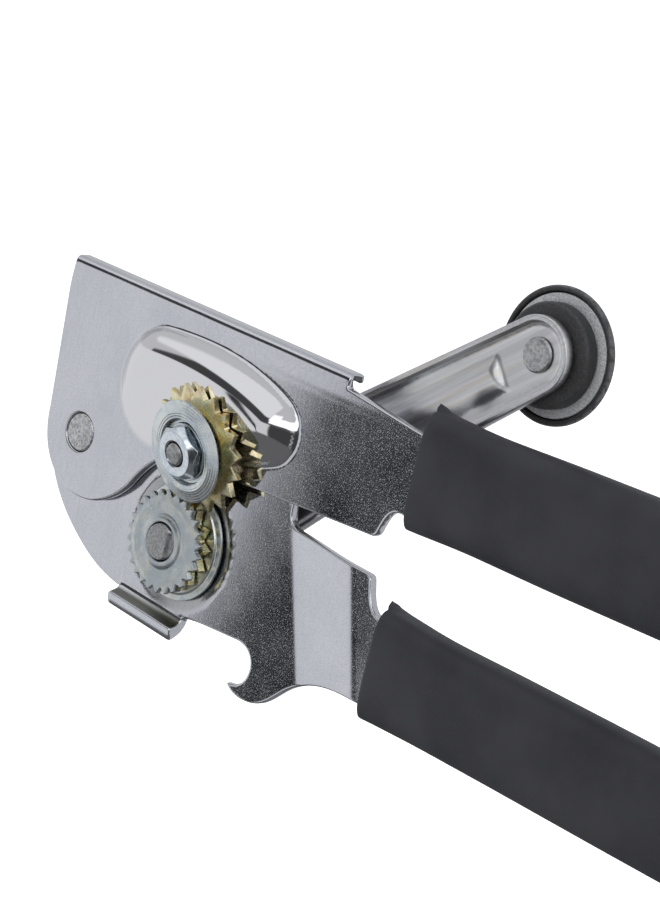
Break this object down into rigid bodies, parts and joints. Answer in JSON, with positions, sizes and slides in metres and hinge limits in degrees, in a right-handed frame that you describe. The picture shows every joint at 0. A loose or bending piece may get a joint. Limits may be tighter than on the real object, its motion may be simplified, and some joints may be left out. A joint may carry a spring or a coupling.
{
  "type": "manual can opener",
  "caption": "Crank-driven can opener with two plate handles in black vinyl grips, a tilted cutter wheel, a toothed feed wheel and a bottle hook.",
  "frame": {"origin": "centre of the drive spindle's front end face", "axes": "+X towards the grips, along the upper plate's straight top edge; +Z from the feed wheel up to the cutter wheel's side; the working side, with both wheels, faces -Y and the crank is on the +Y side"},
  "size_m": [0.223, 0.0318, 0.103],
  "materials": {
    "nickel_plate": "bright nickel-plated sheet with a fine speckled grain",
    "nickel_arm": "bright nickel-plated pressing, lightly brushed along its length",
    "zinc": "clear zinc plating over turned steel",
    "bright_zinc": "bright blue-white zinc plating with turning rings",
    "yellow_zinc": "yellow passivated zinc with a faint iridescence",
    "dull_steel": "matt peened steel",
    "vinyl": "matt black moulded vinyl",
    "black_plastic": "fine-textured black plastic",
    "satin_backing": "satin grey disc with a fine speckle"
  },
  "bodies": {
    "lower_handle": {"lower_plate": "nickel_plate", "lower_grip": "vinyl", "pivot_rivet": "dull_steel", "pivot_washer": "zinc", "spindle_bushing": "yellow_zinc"},
    "upper_handle": {"upper_plate": "nickel_plate", "upper_grip": "vinyl", "cutter_post": "dull_steel", "cutter_nut": "bright_zinc", "nut_washer": "zinc"},
    "cutter": {"cutter_sleeve": "dull_steel", "cutter_wheel": "bright_zinc", "cutter_gear": "yellow_zinc"},
    "crank": {"spindle": "dull_steel", "feed_wheel": "zinc", "drive_gear": "yellow_zinc", "feed_flange": "zinc", "crank_washer": "zinc", "crank_arm": "nickel_arm", "knob_post": "dull_steel"},
    "knob": {"knob_collar": "black_plastic", "knob_backing": "satin_backing", "knob_cap": "black_plastic"}
  },
  "joints": [
    {"name": "handle_hinge", "type": "hinge", "parent": "lower_handle", "child": "upper_handle", "pos_m": [-0.0352, 0.0054, 0.013], "axis": [0, -1, 0], "range_deg": [0, 40]},
    {"name": "crank_spin", "type": "hinge", "parent": "lower_handle", "child": "crank", "pos_m": [0, 0, 0], "axis": [0, -1, 0], "continuous": true},
    {"name": "cutter_spin", "type": "hinge", "parent": "upper_handle", "child": "cutter", "pos_m": [0.00397, -0.0025, 0.02123], "axis": [-0.0445, -0.9703, -0.2378], "continuous": true},
    {"name": "knob_spin", "type": "hinge", "parent": "crank", "child": "knob", "pos_m": [0.0752, 0.0149, 0.0638], "axis": [0, -1, 0], "continuous": true}
  ],
  "couplings": [
    {"joint": "cutter_spin", "follows": "crank_spin", "ratio": -0.83333}
  ]
}
